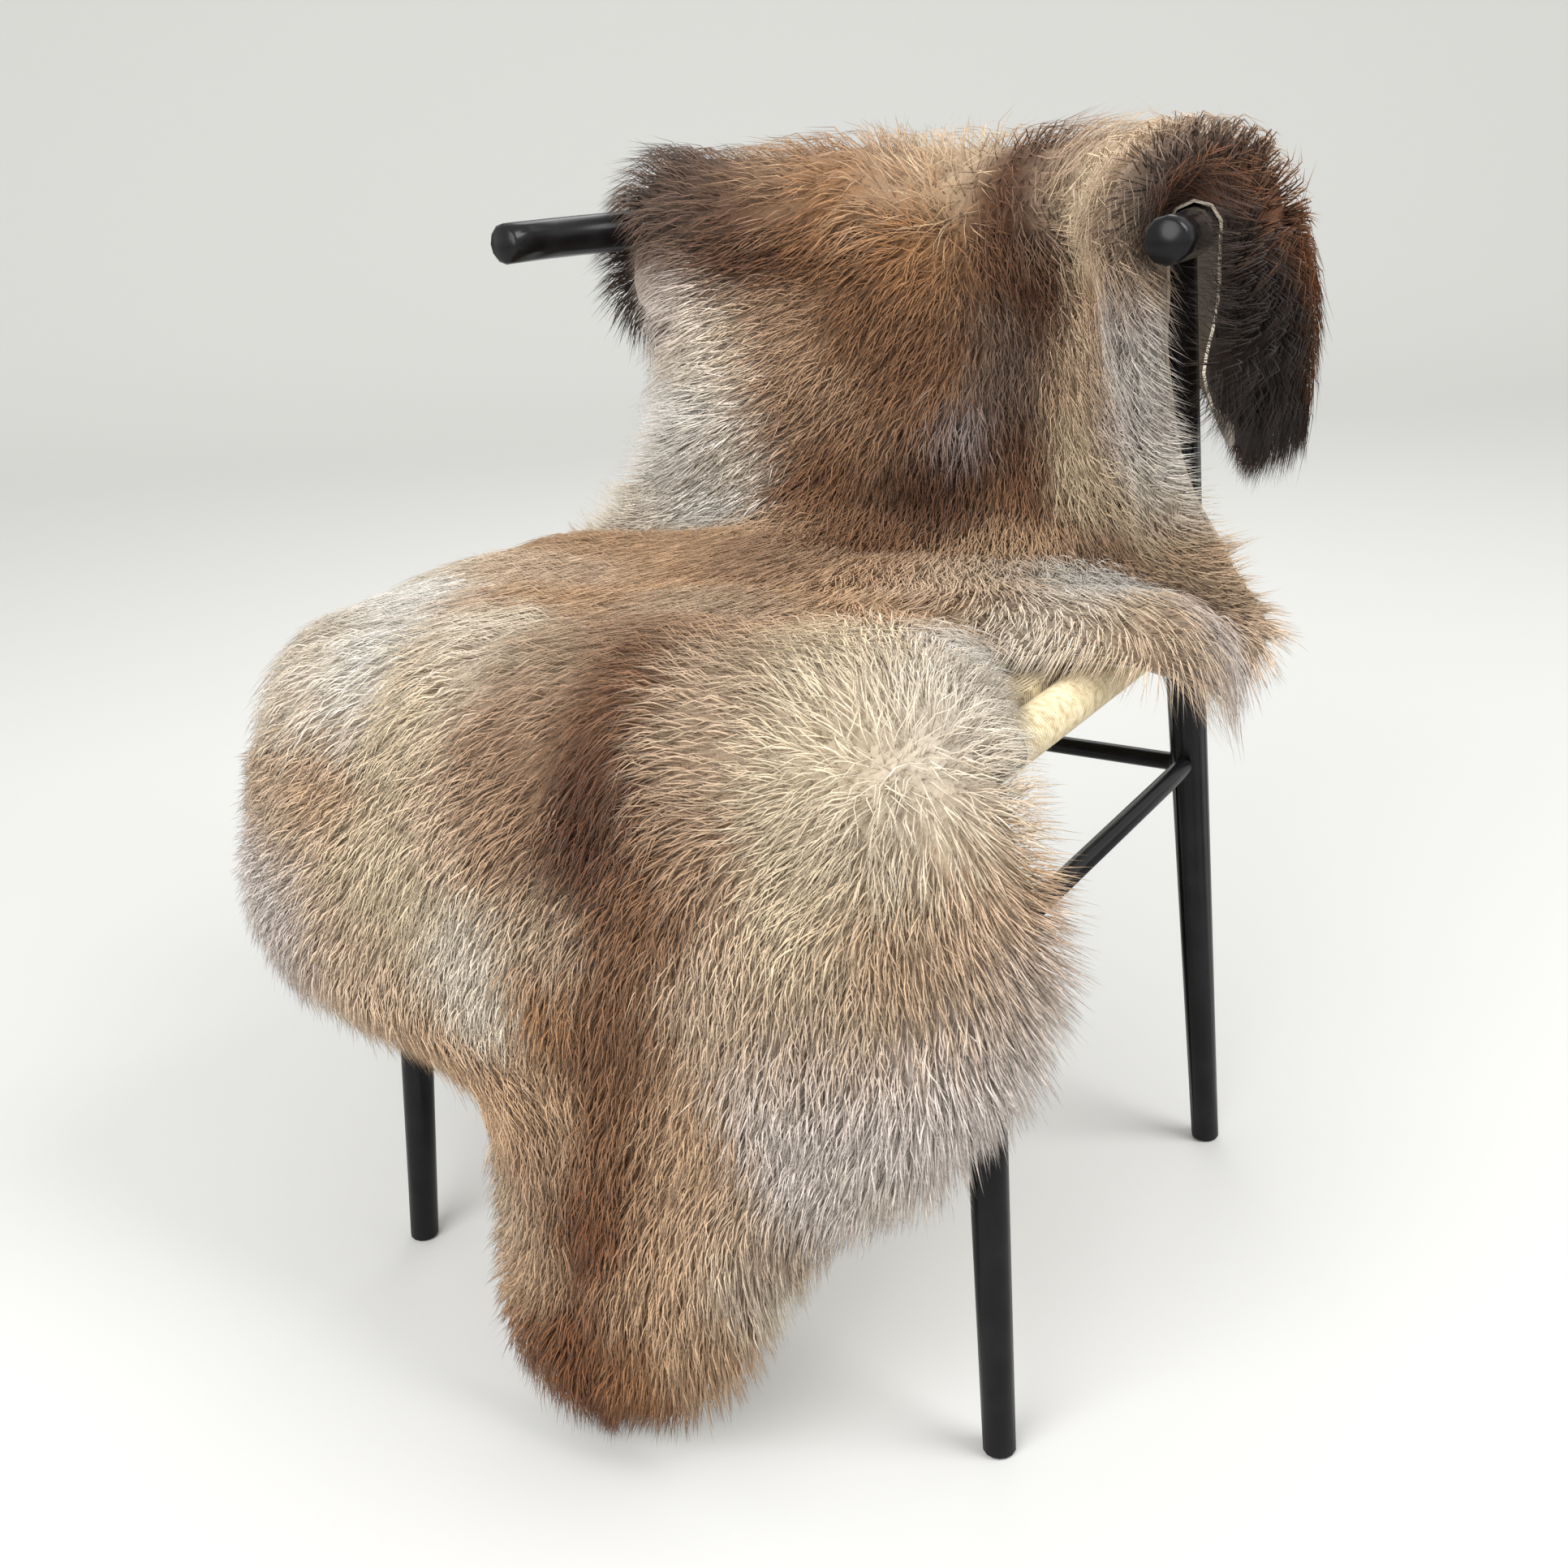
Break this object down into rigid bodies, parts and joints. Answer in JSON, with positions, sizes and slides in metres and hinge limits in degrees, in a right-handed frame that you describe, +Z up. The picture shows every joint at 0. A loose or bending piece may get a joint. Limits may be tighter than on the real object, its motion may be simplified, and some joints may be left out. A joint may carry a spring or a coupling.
{
  "type": "sheepskin rug draped on chair",
  "caption": "Long-wool sheepskin rug draped down over the front of a plain round-rod chair with a cord seat and up over its curved back rail",
  "frame": {"origin": "middle of the underside of the box around the whole object, on the floor", "axes": "+Z up, the chair faces -Y, +X to the right seen from the front"},
  "size_m": [0.7046, 0.6816, 0.8129],
  "materials": {
    "sheepskin_wool": "long soft wool, cream to tan with brown bands, a dark brown rear edge and a pale suede back",
    "black_lacquer": "black satin lacquer on wood, worn at the feet",
    "paper_cord": "natural twisted paper cord, matte"
  },
  "bodies": {
    "root": {"back_rail": "black_lacquer", "front_leg_left": "black_lacquer", "back_leg_left": "black_lacquer", "seat_rail_left": "paper_cord", "side_stretcher_left": "black_lacquer", "front_leg_right": "black_lacquer", "back_leg_right": "black_lacquer", "seat_rail_right": "paper_cord", "side_stretcher_right": "black_lacquer", "seat_rail_front": "paper_cord", "seat_rail_back": "paper_cord", "back_stretcher": "black_lacquer", "woven_seat": "paper_cord", "sheepskin": "sheepskin_wool"}
  },
  "joints": []
}
